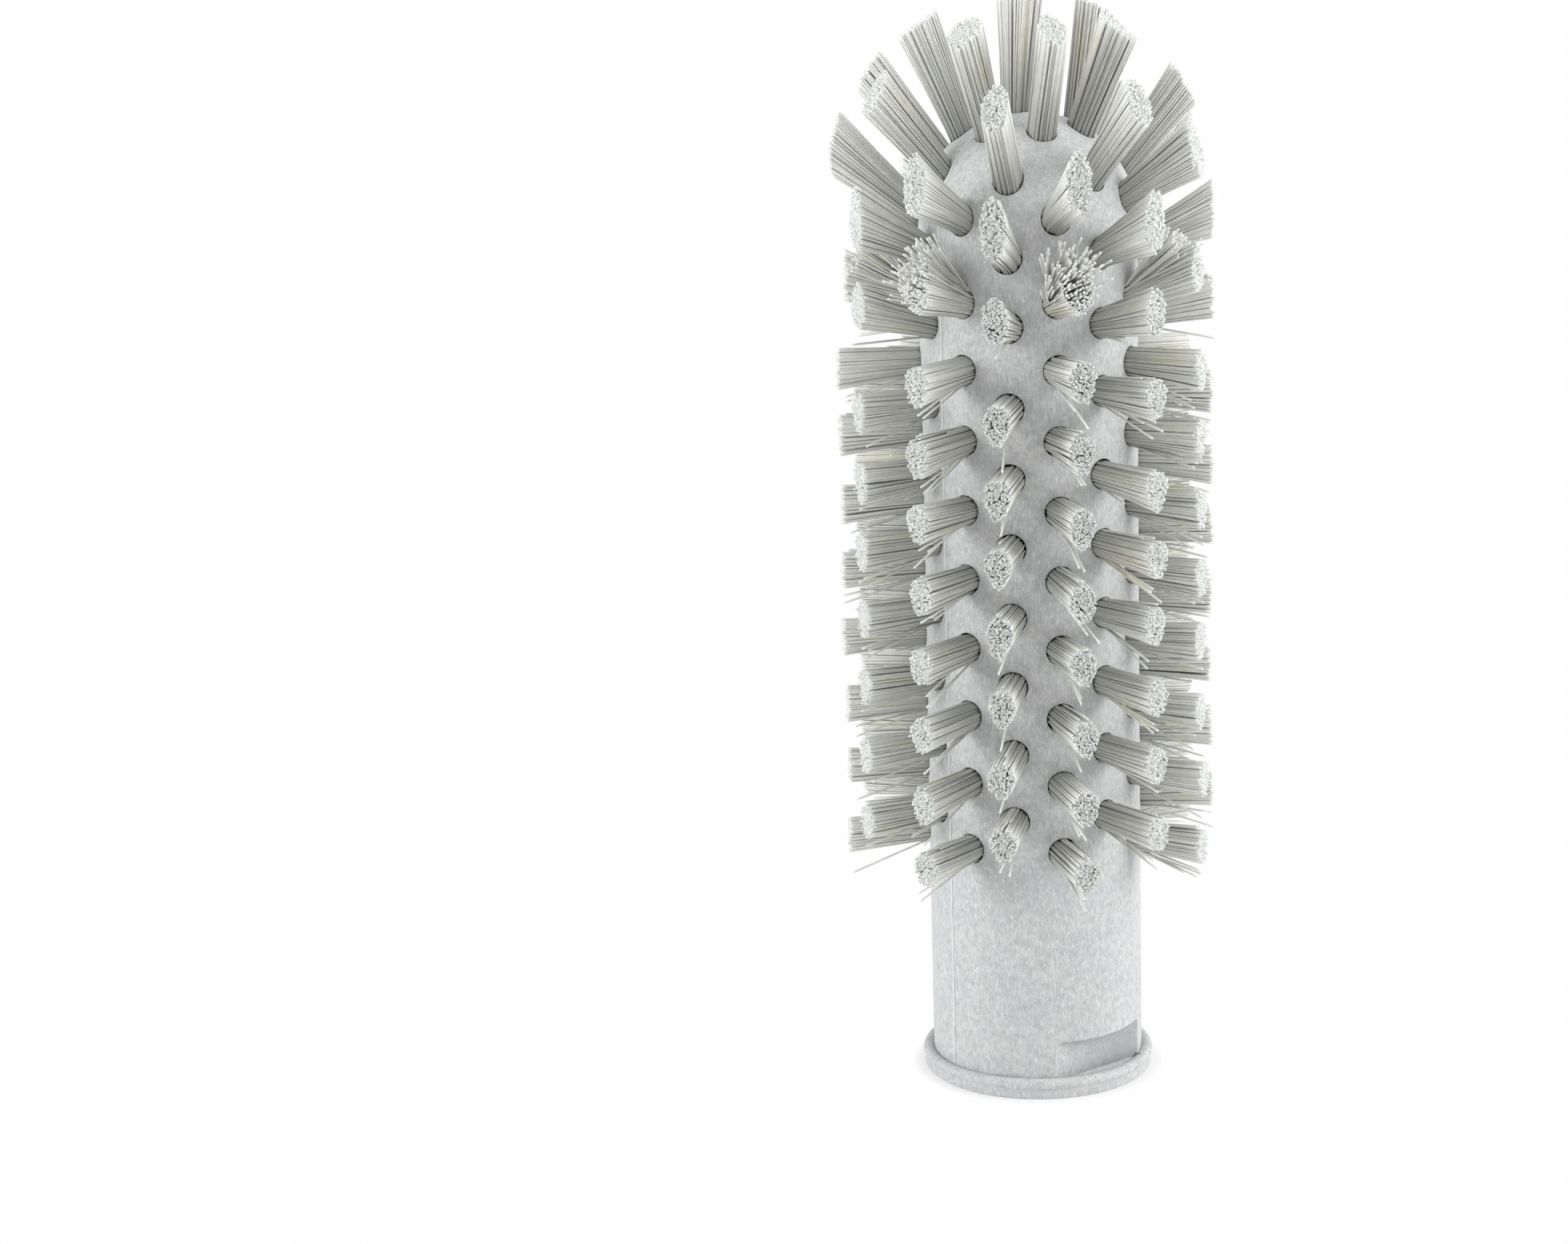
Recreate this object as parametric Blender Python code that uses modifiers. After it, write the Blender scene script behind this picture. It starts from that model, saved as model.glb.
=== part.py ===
"""Valve brush: one moulded block with stapled tufts in staggered columns round its barrel and over its dome,
two wrench flats above a beaded flange, and a blind socket below for a screw-in handle.

Metres, +Z up, the block stands on Z = 0 with its axis on Z. The side in the photograph faces -Y.
An azimuth of 0 degrees points to -Y and grows towards +X.
"""

import math

import bmesh
import bpy
from mathutils import Matrix

# Block, in one piece of polypropylene.
BLOCK_DIAMETER = 0.035
BLOCK_HEIGHT = 0.1587
FLANGE_DIAMETER = 0.0386
FLANGE_HEIGHT = 0.0033
FOOT_DIAMETER = 0.038
FOOT_BAND_HEIGHT = 0.0014
ACROSS_FLATS = 0.030
FLAT_HEIGHT = 0.0055
SOCKET_DIAMETER = 0.0205
SOCKET_DEPTH = 0.032
SOCKET_CHAMFER = 0.001
SEAM_WIDTH = 0.0004
SEAM_RISE = 0.0002
SEAM_ROOT = 0.0005

# Columns of tufts: the even ones and the odd ones are drilled half a row apart.
COLUMNS = 14
FIRST_COLUMN_DEG = -10.5
ROW_PITCH = 0.01115
EVEN_BARREL_ROWS = 7
EVEN_FIRST_ROW_DROP = 0.0276
ODD_BARREL_ROWS = 8
ODD_FIRST_ROW_DROP = 0.0218

# Rows above the evenly spaced ones. A drop is measured down from the dome's centre, a polar angle from
# the axis, and the lean is the tuft's own tilt above the horizontal.
EVEN_SHOULDER_DROP = 0.0149
EVEN_SHOULDER_LEAN_DEG = 12
EVEN_RIM_DROP = 0.004
EVEN_RIM_LEAN_DEG = 23
EVEN_DOME_POLAR_DEG = 63
EVEN_DOME_LEAN_DEG = 47
ODD_SHOULDER_DROP = 0.0112
ODD_SHOULDER_LEAN_DEG = 10
ODD_RIM_POLAR_DEG = 84
ODD_RIM_LEAN_DEG = 27
ODD_DOME_POLAR_DEG = 33
ODD_DOME_LEAN_DEG = 66
CROWN_OFFSET = 0.0015
CROWN_AZIMUTH_DEG = -90

# Tufts, each folded over a staple in its hole, set long and then trimmed to one outline. Each strand is a
# square cone flattened into a kite, and its shares are of the tuft's radius.
TUFT_ROOT_DIAMETER = 0.0043
UNCUT_SPARE = 0.0022
BARREL_UNCUT_DIAMETER = 0.0067
DOME_UNCUT_DIAMETER = 0.0058
SPLAYED_UNCUT_DIAMETER = 0.0108
STRANDS_IN_TUFT = 3
STRAND_OFFSET_SHARE = 0.56
STRAND_DEPTH_SHARE = 0.44
STRAND_WIDTH_SHARE = 0.75
BARREL_REACH = 0.0125
CROWN_REACH = 0.0183
TRIM_SHOULDER_RISE = 0.0027

# The slices of the wall that carry the tufts, and the seats that they lie in.
SLICE_DEPTH = 0.0016
SLICE_RIM = 0.00015
SEAT_CLEARANCE = 0.0003
STRAND_BURY = 0.0008
OVERRUN = 0.001

# Facets. The slices and the trimmed outline have flat facets square to the columns.
TURN_STEPS = 56
TRIM_STEPS = 2 * COLUMNS
DOME_STEPS = 10
SLICE_DOME_STEPS = 5
TRIM_DOME_STEPS = 4
BEAD_STEPS = 5
SHARP_ANGLE_DEG = 35
MERGE = 0.00001

BLOCK_RADIUS = BLOCK_DIAMETER / 2
SOCKET_RADIUS = SOCKET_DIAMETER / 2
DOME_CENTRE = BLOCK_HEIGHT - BLOCK_RADIUS
COLUMN_STEP_DEG = 360 / COLUMNS
FLATS_DEG = FIRST_COLUMN_DEG + 2 * COLUMN_STEP_DEG
SEAM_DEG = FLATS_DEG - 90
SLICE_HALF_WIDTH = TUFT_ROOT_DIAMETER / 2 + SLICE_RIM
SLICE_SAG = BLOCK_RADIUS - math.sqrt(BLOCK_RADIUS**2 - SLICE_HALF_WIDTH**2)
TRIM_RADIUS = BLOCK_RADIUS + BARREL_REACH
TRIM_SHOULDER = DOME_CENTRE + TRIM_SHOULDER_RISE
OVERALL_HEIGHT = BLOCK_HEIGHT + CROWN_REACH
UNCUT_LENGTH = CROWN_REACH + UNCUT_SPARE

BLOCK_GREY = (0.58, 0.61, 0.62)
FILAMENT_IVORY = (0.62, 0.61, 0.56)


def clear_scene():
    for obj in list(bpy.data.objects):
        bpy.data.objects.remove(obj, do_unlink=True)


def new_collection(name, hidden=False):
    collection = bpy.data.collections.new(name)
    bpy.context.scene.collection.children.link(collection)
    collection.hide_render = hidden
    return collection


def new_material(name, colour, roughness):
    material = bpy.data.materials.new(name)
    material.use_nodes = True
    shader = material.node_tree.nodes["Principled BSDF"]
    shader.inputs["Base Color"].default_value = (*colour, 1)
    shader.inputs["Roughness"].default_value = roughness
    return material


def place(name, mesh, collection, turned_deg=0):
    obj = bpy.data.objects.new(name, mesh)
    obj.rotation_euler.z = math.radians(turned_deg)
    collection.objects.link(obj)
    if collection is CUTTERS:
        obj.display_type = "WIRE"
        obj.hide_render = True
    return obj


def mesh_of(name, bm):
    mesh = bpy.data.meshes.new(name)
    bm.to_mesh(mesh)
    bm.free()
    return mesh


def boolean(obj, operation, other):
    modifier = obj.modifiers.new(other.name, "BOOLEAN")
    modifier.operation = operation
    modifier.solver = "EXACT"
    modifier.object = other


def settle(obj, material):
    """The modifiers become the mesh, shaded smooth except over sharp edges."""
    bpy.context.view_layer.update()
    graph = bpy.context.evaluated_depsgraph_get()
    mesh = bpy.data.meshes.new_from_object(obj.evaluated_get(graph))
    obj.modifiers.clear()
    obj.data = mesh
    mesh.name = obj.name
    mesh.shade_smooth()
    mesh.set_sharp_from_angle(angle=math.radians(SHARP_ANGLE_DEG))
    mesh.materials.clear()
    mesh.materials.append(material)


def from_x(azimuth_deg):
    """The turn about the axis that takes what is drawn along +X to an azimuth."""
    return azimuth_deg - 90


def turn_matrix(azimuth_deg):
    return Matrix.Rotation(math.radians(from_x(azimuth_deg)), 4, "Z")


def add_box(bm, low, high, turn):
    size = [b - a for a, b in zip(low, high)]
    middle = [(a + b) / 2 for a, b in zip(low, high)]
    bmesh.ops.create_cube(bm, size=1, matrix=turn @ Matrix.Translation(middle) @ Matrix.Diagonal((*size, 1)))


def revolve(name, profile, steps, collection, turned_deg=0):
    """A turned body. Its profile is (radius, height) points down the outside, from the axis to the axis."""
    mesh = bpy.data.meshes.new(name)
    edges = [(i, i + 1) for i in range(len(profile) - 1)]
    mesh.from_pydata([(radius, 0, height) for radius, height in profile], edges, [])
    obj = place(name, mesh, collection, turned_deg)
    screw = obj.modifiers.new("turn", "SCREW")
    screw.steps = screw.render_steps = steps
    screw.use_merge_vertices = True
    screw.merge_threshold = MERGE
    return obj


def quarter(width, height, centre_height, steps):
    """Points of a quarter of an ellipse, from the axis out to its full width."""
    angles = [math.pi / 2 * i / steps for i in range(steps + 1)]
    return [(width * math.sin(angle), centre_height + height * math.cos(angle)) for angle in angles]


def facing(profile, steps):
    """The profile widened so that flat facets, not corners, lie at its radii."""
    return [(radius / math.cos(math.pi / steps), height) for radius, height in profile]


def wall_shell(name, outer, inner, steps, turned_deg):
    """The block's wall as a shell between two radii, over the barrel and the dome."""
    outside = quarter(outer, outer, DOME_CENTRE, SLICE_DOME_STEPS) + [(outer, 0)]
    inside = quarter(inner, inner, DOME_CENTRE, SLICE_DOME_STEPS) + [(inner, 0)]
    return revolve(name, facing(outside + inside[::-1], steps), steps, CUTTERS, turned_deg)


def on_barrel(drop):
    """(radius, height) on the wall, at a drop below the dome's centre."""
    return BLOCK_RADIUS, DOME_CENTRE - drop


def on_dome(polar_deg):
    polar = math.radians(polar_deg)
    return BLOCK_RADIUS * math.sin(polar), DOME_CENTRE + BLOCK_RADIUS * math.cos(polar)


def arc_deg(length):
    """The angle that a length covers on the dome."""
    return math.degrees(length / BLOCK_RADIUS)


def add_tuft(bm, root, lean_deg, uncut_diameter):
    """Three strands about the tuft's axis, from under the wall to beyond the trimmed outline."""
    depth = UNCUT_LENGTH + STRAND_BURY
    root_radius, uncut_radius = TUFT_ROOT_DIAMETER / 2, uncut_diameter / 2
    offset = STRAND_OFFSET_SHARE * (root_radius + uncut_radius) / 2
    spread = math.atan(STRAND_OFFSET_SHARE * (uncut_radius - root_radius) / depth)
    section = Matrix.Diagonal((STRAND_DEPTH_SHARE, STRAND_WIDTH_SHARE, 1, 1))
    stand = Matrix.Translation((root[0], 0, root[1])) @ Matrix.Rotation(math.radians(90 - lean_deg), 4, "Y")
    for i in range(STRANDS_IN_TUFT):
        about = Matrix.Rotation(math.tau * i / STRANDS_IN_TUFT + math.pi, 4, "Z")
        out = Matrix.Translation((offset, 0, depth / 2 - STRAND_BURY)) @ Matrix.Rotation(spread, 4, "Y")
        bmesh.ops.create_cone(bm, cap_ends=True, segments=4, radius1=root_radius, radius2=uncut_radius,
                              depth=depth, matrix=stand @ about @ out @ section)


def tufted_slice(name, box, tufts):
    """The mesh of one node: a slice of the wall, drawn at +X, with its trimmed tufts fused to it."""
    plate, strands = bmesh.new(), bmesh.new()
    add_box(plate, *box, Matrix())
    for root, lean_deg, uncut_diameter in tufts:
        add_tuft(strands, root, lean_deg, uncut_diameter)
    bundle = place(name + "_strands", mesh_of(name + "_strands", strands), CUTTERS)
    boolean(bundle, "INTERSECT", TRIM)
    carrier = place(name, mesh_of(name, plate), CUTTERS)
    boolean(carrier, "INTERSECT", SLICE_SHELL)
    boolean(carrier, "UNION", bundle)
    settle(carrier, FILAMENT)
    return carrier.data


def barrel_box(drops, clearance):
    """A plate through the wall, from under the lowest tuft of a column to over its highest."""
    margin = SLICE_HALF_WIDTH + clearance
    low = BLOCK_RADIUS - 2 * SLICE_DEPTH, -margin, on_barrel(drops[-1] + margin)[1]
    return low, (BLOCK_RADIUS + 2 * OVERRUN, margin, on_barrel(drops[0] - margin)[1])


def dome_box(lowest_drop, top_polar_deg, clearance):
    """The same over the shoulder and the dome. Its inner side passes behind the roots of the top tuft."""
    margin = SLICE_HALF_WIDTH + clearance
    end = on_dome(top_polar_deg - arc_deg(SLICE_HALF_WIDTH))[0] * (1 - SLICE_DEPTH / BLOCK_RADIUS)
    low = end - clearance, -margin, on_barrel(lowest_drop + margin)[1]
    return low, (BLOCK_RADIUS + 2 * OVERRUN, margin, BLOCK_HEIGHT + 2 * OVERRUN)


def crown_box(clearance):
    margin = SLICE_HALF_WIDTH + clearance
    low = CROWN_OFFSET - margin, -margin, BLOCK_HEIGHT - 2 * SLICE_DEPTH
    return low, (CROWN_OFFSET + margin, margin, BLOCK_HEIGHT + 2 * OVERRUN)


def even_column():
    """(barrel drops, lowest drop and top polar angle above them, the tufts there)."""
    drops = [EVEN_FIRST_ROW_DROP + ROW_PITCH * i for i in range(EVEN_BARREL_ROWS)]
    upper = [
        (on_barrel(EVEN_SHOULDER_DROP), EVEN_SHOULDER_LEAN_DEG, BARREL_UNCUT_DIAMETER),
        (on_barrel(EVEN_RIM_DROP), EVEN_RIM_LEAN_DEG, BARREL_UNCUT_DIAMETER),
        (on_dome(EVEN_DOME_POLAR_DEG), EVEN_DOME_LEAN_DEG, DOME_UNCUT_DIAMETER),
    ]
    return drops, EVEN_SHOULDER_DROP, EVEN_DOME_POLAR_DEG, upper


def odd_column():
    drops = [ODD_FIRST_ROW_DROP + ROW_PITCH * i for i in range(ODD_BARREL_ROWS)]
    upper = [
        (on_barrel(ODD_SHOULDER_DROP), ODD_SHOULDER_LEAN_DEG, SPLAYED_UNCUT_DIAMETER),
        (on_dome(ODD_RIM_POLAR_DEG), ODD_RIM_LEAN_DEG, BARREL_UNCUT_DIAMETER),
        (on_dome(ODD_DOME_POLAR_DEG), ODD_DOME_LEAN_DEG, DOME_UNCUT_DIAMETER),
    ]
    return drops, ODD_SHOULDER_DROP, ODD_DOME_POLAR_DEG, upper


def make_tufts():
    """Two nodes in each column and one at the crown. The columns of a kind share their meshes."""
    kinds = []
    for label, (drops, lowest, top_deg, upper) in (("even", even_column()), ("odd", odd_column())):
        rows = [(on_barrel(drop), 0, BARREL_UNCUT_DIAMETER) for drop in drops]
        barrel = tufted_slice(label + "_barrel", barrel_box(drops, 0), rows)
        dome = tufted_slice(label + "_dome", dome_box(lowest, top_deg, 0), upper)
        kinds.append((barrel, dome))
    for column in range(COLUMNS):
        barrel, dome = kinds[column % 2]
        turned_deg = from_x(FIRST_COLUMN_DEG + COLUMN_STEP_DEG * column)
        place(f"barrel_tufts_{column + 1:02d}", barrel, BRUSH, turned_deg)
        place(f"dome_tufts_{column + 1:02d}", dome, BRUSH, turned_deg)
    crown = on_dome(arc_deg(CROWN_OFFSET)), 90, DOME_UNCUT_DIAMETER
    place("crown_tuft", tufted_slice("crown", crown_box(0), [crown]), BRUSH, from_x(CROWN_AZIMUTH_DEG))


def seats():
    """The grooves in the block that the slices lie in, with clearance all round."""
    plates = bmesh.new()
    for column in range(COLUMNS):
        drops, lowest, top_deg, _ = odd_column() if column % 2 else even_column()
        turn = turn_matrix(FIRST_COLUMN_DEG + COLUMN_STEP_DEG * column)
        add_box(plates, *barrel_box(drops, SEAT_CLEARANCE), turn)
        add_box(plates, *dome_box(lowest, top_deg, SEAT_CLEARANCE), turn)
    add_box(plates, *crown_box(SEAT_CLEARANCE), turn_matrix(CROWN_AZIMUTH_DEG))
    cutter = place("seats", mesh_of("seats", plates), CUTTERS)
    inner = BLOCK_RADIUS - SLICE_DEPTH - SEAT_CLEARANCE
    turned_deg = from_x(FIRST_COLUMN_DEG) + COLUMN_STEP_DEG / 2
    shell = wall_shell("seat_shell", BLOCK_RADIUS + OVERRUN, inner, COLUMNS, turned_deg)
    boolean(cutter, "INTERSECT", shell)
    return cutter


def seam_ribs():
    """The mould's parting line, over the dome and down both sides, a quarter turn from the flats."""
    plate = bmesh.new()
    reach = BLOCK_RADIUS + OVERRUN
    low = -reach, -SEAM_WIDTH / 2, FLANGE_HEIGHT - SEAM_ROOT
    add_box(plate, low, (reach, SEAM_WIDTH / 2, BLOCK_HEIGHT + OVERRUN), turn_matrix(SEAM_DEG))
    ribs = place("seams", mesh_of("seams", plate), CUTTERS)
    shell = wall_shell("seam_shell", BLOCK_RADIUS + SEAM_RISE, BLOCK_RADIUS - SEAM_ROOT, TURN_STEPS, 0)
    boolean(ribs, "INTERSECT", shell)
    return ribs


def flat_cutters():
    """Two wrench flats that stand on the flange and end in an overhanging shoulder."""
    flats = bmesh.new()
    low = ACROSS_FLATS / 2, -BLOCK_RADIUS, FLANGE_HEIGHT
    high = BLOCK_RADIUS + OVERRUN, BLOCK_RADIUS, FLANGE_HEIGHT + FLAT_HEIGHT
    for azimuth_deg in (FLATS_DEG, FLATS_DEG + 180):
        add_box(flats, low, high, turn_matrix(azimuth_deg))
    return place("flats", mesh_of("flats", flats), CUTTERS)


def block_profile():
    """From the top of the dome down the outside, under the foot and up the socket to the axis."""
    bead_width = FLANGE_DIAMETER / 2 - BLOCK_RADIUS
    bead = quarter(bead_width, FLANGE_HEIGHT - FOOT_BAND_HEIGHT, FOOT_BAND_HEIGHT, BEAD_STEPS)
    return [
        *quarter(BLOCK_RADIUS, BLOCK_RADIUS, DOME_CENTRE, DOME_STEPS),
        *[(BLOCK_RADIUS + width, height) for width, height in bead],
        (FOOT_DIAMETER / 2, 0),
        (SOCKET_RADIUS + SOCKET_CHAMFER, 0),
        (SOCKET_RADIUS, SOCKET_CHAMFER),
        (SOCKET_RADIUS, SOCKET_DEPTH),
        (0, SOCKET_DEPTH),
    ]


def trim_profile():
    """The outline that the tufts are cut to: a cylinder with a tall dome on it."""
    dome = quarter(TRIM_RADIUS, OVERALL_HEIGHT - TRIM_SHOULDER, TRIM_SHOULDER, TRIM_DOME_STEPS)
    return [*dome, (TRIM_RADIUS, 0), (0, 0)]


def make_block():
    block = revolve("brush_block", block_profile(), TURN_STEPS, BRUSH)
    boolean(block, "UNION", seam_ribs())
    boolean(block, "DIFFERENCE", flat_cutters())
    boolean(block, "DIFFERENCE", seats())
    settle(block, POLYPROPYLENE)


clear_scene()
BRUSH = new_collection("valve_brush")
CUTTERS = new_collection("cutters", hidden=True)
POLYPROPYLENE = new_material("block", BLOCK_GREY, 0.55)
FILAMENT = new_material("filament", FILAMENT_IVORY, 0.6)
SLICE_WALL = BLOCK_RADIUS - SLICE_SAG, BLOCK_RADIUS - SLICE_DEPTH
SLICE_SHELL = wall_shell("slice_shell", *SLICE_WALL, COLUMNS, COLUMN_STEP_DEG / 2)
TRIM = revolve("trim", facing(trim_profile(), TRIM_STEPS), TRIM_STEPS, CUTTERS, 180 / TRIM_STEPS)
make_tufts()
make_block()

total = 0
for node in sorted(BRUSH.objects, key=lambda obj: obj.name):
    node.data.calc_loop_triangles()
    total += len(node.data.loop_triangles)
    print(node.name, len(node.data.loop_triangles), "triangles")
print(len(BRUSH.objects), "nodes,", total, "triangles")
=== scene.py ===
# %% [markdown]
# # A valve brush, standing on its foot
#
# This lesson dresses a plain CAD model of a tube brush. The real brush is one grey moulding, drilled with
# 148 holes, and a tuft of stiff filament is stapled into each. The CAD model gives the sizes and the names
# of the nodes, and everything that shows is built here in more detail, round the same axis.

import math

import bmesh
import bpy
import numpy as np
from mathutils import Matrix, Vector


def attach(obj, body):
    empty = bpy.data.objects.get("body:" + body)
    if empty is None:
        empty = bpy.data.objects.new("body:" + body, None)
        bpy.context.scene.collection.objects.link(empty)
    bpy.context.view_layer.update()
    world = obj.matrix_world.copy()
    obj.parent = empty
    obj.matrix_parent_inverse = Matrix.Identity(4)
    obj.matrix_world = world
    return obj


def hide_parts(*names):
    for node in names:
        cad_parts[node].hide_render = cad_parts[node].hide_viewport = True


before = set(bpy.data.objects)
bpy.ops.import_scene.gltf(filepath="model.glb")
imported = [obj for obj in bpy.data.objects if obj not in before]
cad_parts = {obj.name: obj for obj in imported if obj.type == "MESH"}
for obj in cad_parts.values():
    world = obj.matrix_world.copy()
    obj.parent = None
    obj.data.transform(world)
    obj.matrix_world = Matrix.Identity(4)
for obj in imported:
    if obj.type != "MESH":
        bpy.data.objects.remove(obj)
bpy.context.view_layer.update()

# %% [markdown]
# ## Units, colours and nodes
#
# Blender works in metres and the drawing of a brush is in millimetres, so every length below is written in
# millimetres and multiplied by `MM`. Colours are picked on a screen as sRGB hex codes, while a shader wants
# linear light, so one function turns the one into the other. Another adds a shader node with its settings
# and links in one line. A third lays colours over each other, each where a pattern says so, as glazes are
# laid on a pot, which keeps the materials short enough to read as a recipe.

# %% Small helpers
MM = 0.001


def linear(hex_code):
    """A colour from a code such as "CDD0D2", as linear red, green, blue and alpha."""
    channels = [int(hex_code[i : i + 2], 16) / 255 for i in (0, 2, 4)]
    return (*[c / 12.92 if c <= 0.04045 else ((c + 0.055) / 1.055) ** 2.4 for c in channels], 1)


def node(tree, kind, inputs=None, **settings):
    """Adds a node. inputs maps a socket's name or number to a value, or to an output to link."""
    made = tree.nodes.new(kind)
    for name, value in settings.items():
        setattr(made, name, value)
    for socket, value in (inputs or {}).items():
        if isinstance(value, bpy.types.NodeSocket):
            tree.links.new(value, made.inputs[socket])
        else:
            made.inputs[socket].default_value = value
    return made


def new_material(name):
    """An empty node material, its tree and its output."""
    material = bpy.data.materials.new(name)
    material.use_nodes = True
    material.node_tree.nodes.clear()
    return material, material.node_tree, node(material.node_tree, "ShaderNodeOutputMaterial")


def layered(tree, base, layers):
    """A base colour with others laid over it.

    A layer is (value, start, full, most, colour). It comes in while the value passes from start to full, and
    there it covers the share most.
    """
    colour = linear(base)
    for value, start, full, most, over in layers:
        share = node(tree, "ShaderNodeMapRange", {0: value, 1: start, 2: full, 4: most}).outputs[0]
        sockets = {0: share, 6: colour, 7: linear(over)}
        colour = node(tree, "ShaderNodeMix", sockets, data_type="RGBA").outputs[2]
    return colour


print("block grey in linear light:", [round(c, 3) for c in linear("D9D9D8")])

# %% [markdown]
# ## Moulded polypropylene
#
# The block is injection-moulded polypropylene with a filler in it. Such a grey is never even: where the melt
# froze first there are fine upright streaks, the filler shows as a grain of a quarter of a millimetre, and
# slow patches drift between a cool and a neutral grey. The skin has a soft, waxy sheen, and a very shallow
# grain breaks up the light. Its refractive index is 1.49 and its roughness about one half. A picture of such
# a skin would show its seams round a barrel, so all of it is noise, each at its real size.
#
# In three places the same plastic looks different, and there one more layer lies over it. Along the parting
# line it is whiter: partly stress whitening where flash was torn off, partly a painted highlight on the
# ridge.
# Along that line's foot it is darker, which is painted shade. On the two wrench flats it is darker too, a
# painted shade for the shoulder's overhang, and fades in from the flat's left end. Both the outward and the
# sideways place change sign from one flat to the other, so their product says how far along either flat a
# point lies.

# %% Moulded polypropylene
GRAIN, STREAK, PATCH = 0.24 * MM, 0.26 * MM, 7 * MM  # widths of the grain, the streaks and the patches
STREAK_STRETCH = 0.24  # a streak is about four times as long as it is wide
FLATS_DEG, ACROSS_FLATS = 40.92, 30.0  # azimuth of the right-hand flat, and distance between the two
FLAT_SHADE_FROM, FLAT_SHADE_FULL = -9, 4  # where the painted shade on a flat starts and is full, sideways from its middle


def directions(azimuth_deg):
    """Outward and sideways at an azimuth, which is 0 degrees towards the viewer and grows to the right."""
    a = math.radians(azimuth_deg)
    return np.array([math.sin(a), -math.cos(a), 0]), np.array([math.cos(a), math.sin(a), 0])


def along_flats(tree, place):
    """The product of the outward and the sideways place."""
    both = []
    for way in directions(FLATS_DEG):
        part = node(tree, "ShaderNodeVectorMath", {0: place, 1: tuple(way)}, operation="DOT_PRODUCT")
        both.append(part.outputs["Value"])
    return node(tree, "ShaderNodeMath", {0: both[0], 1: both[1]}, operation="MULTIPLY").outputs[0]


def moulded_polypropylene(name, over=None, share=0.0, on_flats=False):
    """The block's skin, with a share of another colour over all of it or along the flats."""
    material, tree, output = new_material(name)
    place = node(tree, "ShaderNodeTexCoord").outputs["Object"]
    upright = node(tree, "ShaderNodeMapping", {"Vector": place, "Scale": (1, 1, STREAK_STRETCH)}).outputs[0]
    noises = {}
    for pattern, size, detail, where in (
        ("grain", GRAIN, 2, place),
        ("streak", STREAK, 2, upright),
        ("patch", PATCH, 2, place),
        ("tint", PATCH * 0.7, 1, place),
        ("cloud", PATCH * 0.15, 3, place),
    ):
        settings = {"Vector": where, "Scale": 1 / size, "Detail": detail, "Roughness": 0.6}
        noises[pattern] = node(tree, "ShaderNodeTexNoise", settings).outputs[0]

    layers = [
        (noises["tint"], 0.4, 0.6, 1, "D2D3D6"),
        (noises["patch"], 0.35, 0.65, 1, "D9D9D8"),
        (noises["cloud"], 0.36, 0.74, 1, "BABDBF"),
        (noises["streak"], 0.5, 0.8, 1, "F1F2F2"),
        (noises["grain"], 0.5, 0.93, 1, "A2A5A7"),
    ]
    if on_flats:
        # the flats' painted shade, fading in from each flat's left end
        unit = ACROSS_FLATS / 2 * MM**2
        layers.append((along_flats(tree, place), FLAT_SHADE_FROM * unit, FLAT_SHADE_FULL * unit, share, over))
    elif over:
        layers.append((1.0, 0.0, 1.0, share, over))
    body = layered(tree, "CFD2D2", layers)
    rough = node(tree, "ShaderNodeMapRange", {0: noises["cloud"], 3: 0.48, 4: 0.66}).outputs[0]
    height = node(tree, "ShaderNodeMath", {0: noises["grain"], 1: noises["streak"]}, operation="ADD")
    relief = {"Height": height.outputs[0], "Distance": 0.05 * MM, "Strength": 0.5}
    bump = node(tree, "ShaderNodeBump", relief)
    settings = {"Base Color": body, "Roughness": rough, "IOR": 1.49, "Normal": bump.outputs[0]}
    skin = node(tree, "ShaderNodeBsdfPrincipled", settings)
    tree.links.new(skin.outputs[0], output.inputs[0])
    return material


POLYPROPYLENE = moulded_polypropylene("moulded_polypropylene")
# partly stress whitening where flash was torn off, partly a painted highlight along the parting line's ridge
FLASH = moulded_polypropylene("whitened_and_painted_highlight_polypropylene", "F7F8F8", 0.85)
# painted shade: the dark line along the parting line's foot
SEAM_SHADE = moulded_polypropylene("painted_seam_shade_polypropylene", "8B8F91", 0.8)
# painted shade on the wrench flats, for the shoulder's overhang
FLAT = moulded_polypropylene("painted_shade_flats_polypropylene", "9FA2A4", 0.6, on_flats=True)
BLOCK_MATERIALS = (POLYPROPYLENE, FLASH, SEAM_SHADE, FLAT)
for material in BLOCK_MATERIALS:
    print("made", material.name, "with", len(material.node_tree.nodes), "nodes")

# %% [markdown]
# ## Polyester filament
#
# The tufts are extruded polyester of a third of a millimetre. It is a milky ivory with a silky sheen, lets
# too little light through to show, and no two filaments are equally pale. A noise alone would colour a tuft
# as one lump, so each filament carries two numbers on its mesh: `tone`, drawn once for it, and `along`, from
# 0 in the hole to 1 at the cut end. The shader reads both. A filament is painted darker and greener towards
# the hole, as painted shade deep in the tuft, and turns pale towards its end, where the trimming blade has
# crushed it. The cut face itself is white and crazed at a quarter of a millimetre, so it has a material of
# its own, made by the same function.

# %% Polyester filament, drawn and cut
def polyester(name, pattern_width, least_rough, most_rough, base, recipe):
    """Filament material. Each layer of the recipe names the value that it follows: tone, along or noise."""
    material, tree, output = new_material(name)
    place = node(tree, "ShaderNodeTexCoord").outputs["Object"]
    settings = {"Vector": place, "Scale": 1 / pattern_width, "Detail": 2}
    values = {"noise": node(tree, "ShaderNodeTexNoise", settings).outputs[0]}
    for label, *_ in recipe:
        if label not in values:
            values[label] = node(tree, "ShaderNodeAttribute", attribute_name=label).outputs["Fac"]
    body = layered(tree, base, [(values[label], *rest) for label, *rest in recipe])
    rough = node(tree, "ShaderNodeMapRange", {0: values["noise"], 3: least_rough, 4: most_rough}).outputs[0]
    shader = node(tree, "ShaderNodeBsdfPrincipled", {"Base Color": body, "Roughness": rough, "IOR": 1.57})
    tree.links.new(shader.outputs[0], output.inputs[0])
    return material


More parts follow.
